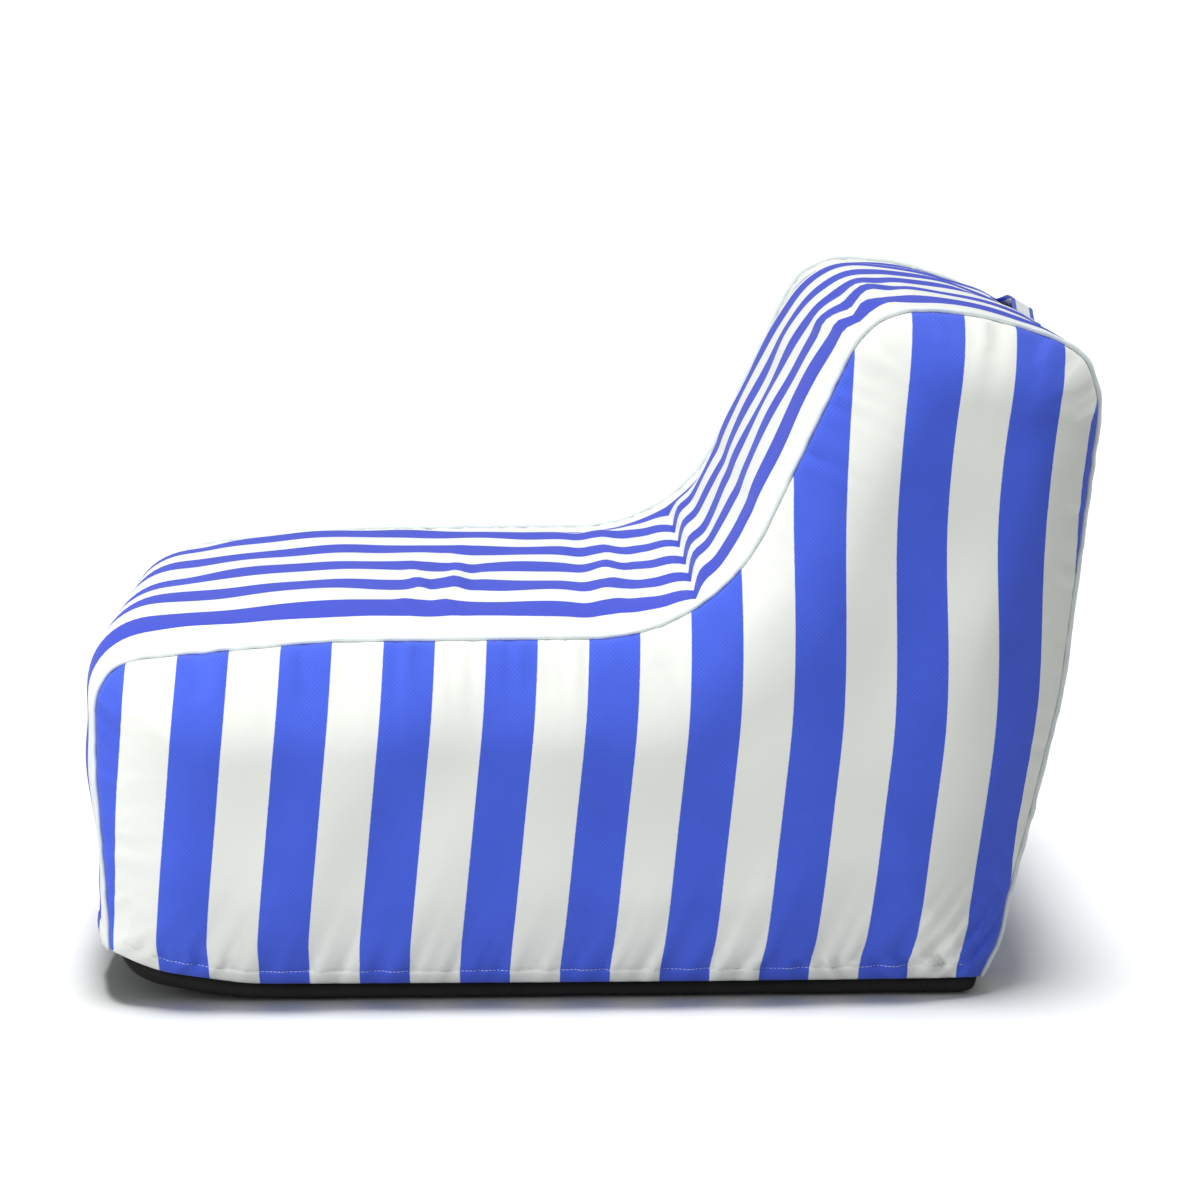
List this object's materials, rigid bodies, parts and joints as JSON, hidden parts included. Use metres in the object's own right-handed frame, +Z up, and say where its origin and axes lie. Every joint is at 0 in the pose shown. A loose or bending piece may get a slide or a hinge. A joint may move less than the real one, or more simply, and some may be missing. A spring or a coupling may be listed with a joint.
{
  "type": "inflatable lounge chair pool float",
  "caption": "Inflatable lounge chair for the pool: a striped fabric cover with seat, raised back and grab strap over air chambers with screw-cap valves.",
  "frame": {"origin": "on the ground, under the middle of the float", "axes": "+X to the sitter's left, -Y to the front of the seat, +Y to the back, +Z up"},
  "size_m": [0.7602, 1.0355, 0.7034],
  "materials": {
    "side_fabric": "matte woven polyester with lengthwise printed stripes",
    "band_fabric": "matte woven polyester with printed stripes",
    "piping_fabric": "covered cord, matte",
    "base_fabric": "matte black woven base",
    "chamber_pvc": "soft satin PVC film",
    "web_pvc": "soft satin PVC film",
    "valve_plastic": "moulded satin",
    "cap_plastic": "moulded satin black",
    "valve_rubber": "matte",
    "zip_fabric": "woven tape",
    "zip_nylon": "moulded coil",
    "zip_metal": "black coated die casting",
    "handle_webbing": "flat woven strap"
  },
  "bodies": {
    "cover": {"centre_band": "band_fabric", "side_panel_left": "side_fabric", "side_panel_right": "side_fabric", "piping_left": "piping_fabric", "piping_right": "piping_fabric", "base_panel": "base_fabric", "seat_air_chamber": "chamber_pvc", "back_air_chamber": "chamber_pvc", "seat_web_1": "web_pvc", "seat_web_2": "web_pvc", "seat_web_3": "web_pvc", "seat_web_4": "web_pvc", "back_web_1": "web_pvc", "back_web_2": "web_pvc", "back_web_3": "web_pvc", "back_web_4": "web_pvc", "seat_valve_base": "valve_plastic", "seat_valve_core": "valve_plastic", "back_valve_base": "valve_plastic", "back_valve_core": "valve_plastic", "zip_tape_upper": "zip_fabric", "zip_tape_lower": "zip_fabric", "zip_coil_upper": "zip_nylon", "zip_coil_lower": "zip_nylon", "zip_stop_left": "zip_metal", "zip_stop_right": "zip_metal", "grab_handle": "handle_webbing"},
    "zip_slider": {"zip_slider": "zip_metal"},
    "zip_pull": {"zip_pull": "zip_metal"},
    "seat_valve_tether": {"seat_valve_tether": "cap_plastic"},
    "seat_valve_cap": {"seat_valve_cap": "cap_plastic"},
    "seat_check_disc": {"seat_valve_check_disc": "valve_rubber"},
    "back_valve_tether": {"back_valve_tether": "cap_plastic"},
    "back_valve_cap": {"back_valve_cap": "cap_plastic"},
    "back_check_disc": {"back_valve_check_disc": "valve_rubber"}
  },
  "joints": [
    {"name": "zip_slide", "type": "slide", "parent": "cover", "child": "zip_slider", "axis": [1, 0, 0], "range_m": [-0.476, 0]},
    {"name": "pull_swing", "type": "hinge", "parent": "zip_slider", "child": "zip_pull", "pos_m": [0.238, 0.42914, 0.07789], "axis": [1, 0, 0], "range_deg": [-15, 150]},
    {"name": "seat_tether_lift", "type": "slide", "parent": "cover", "child": "seat_valve_tether", "axis": [0, 0.5905, -0.807], "range_m": [0, 0.003]},
    {"name": "seat_cap_turn", "type": "hinge", "parent": "seat_valve_tether", "child": "seat_valve_cap", "pos_m": [-0.09, 0.33273, 0.05549], "axis": [0, 0.5905, -0.807], "range_deg": [0, 360]},
    {"name": "seat_check_open", "type": "slide", "parent": "cover", "child": "seat_check_disc", "axis": [0, -0.5905, 0.807], "range_m": [0, 0.0015], "stiffness_N_per_m": 30},
    {"name": "back_tether_lift", "type": "slide", "parent": "cover", "child": "back_valve_tether", "axis": [0, 0.5905, -0.807], "range_m": [0, 0.003]},
    {"name": "back_cap_turn", "type": "hinge", "parent": "back_valve_tether", "child": "back_valve_cap", "pos_m": [0.09, 0.38277, 0.0921], "axis": [0, 0.5905, -0.807], "range_deg": [0, 360]},
    {"name": "back_check_open", "type": "slide", "parent": "cover", "child": "back_check_disc", "axis": [0, -0.5905, 0.807], "range_m": [0, 0.0015], "stiffness_N_per_m": 30}
  ],
  "couplings": [
    {"joint": "seat_cap_turn", "follows": "seat_tether_lift", "rad_per_m": 2094.4},
    {"joint": "back_cap_turn", "follows": "back_tether_lift", "rad_per_m": 2094.4}
  ]
}
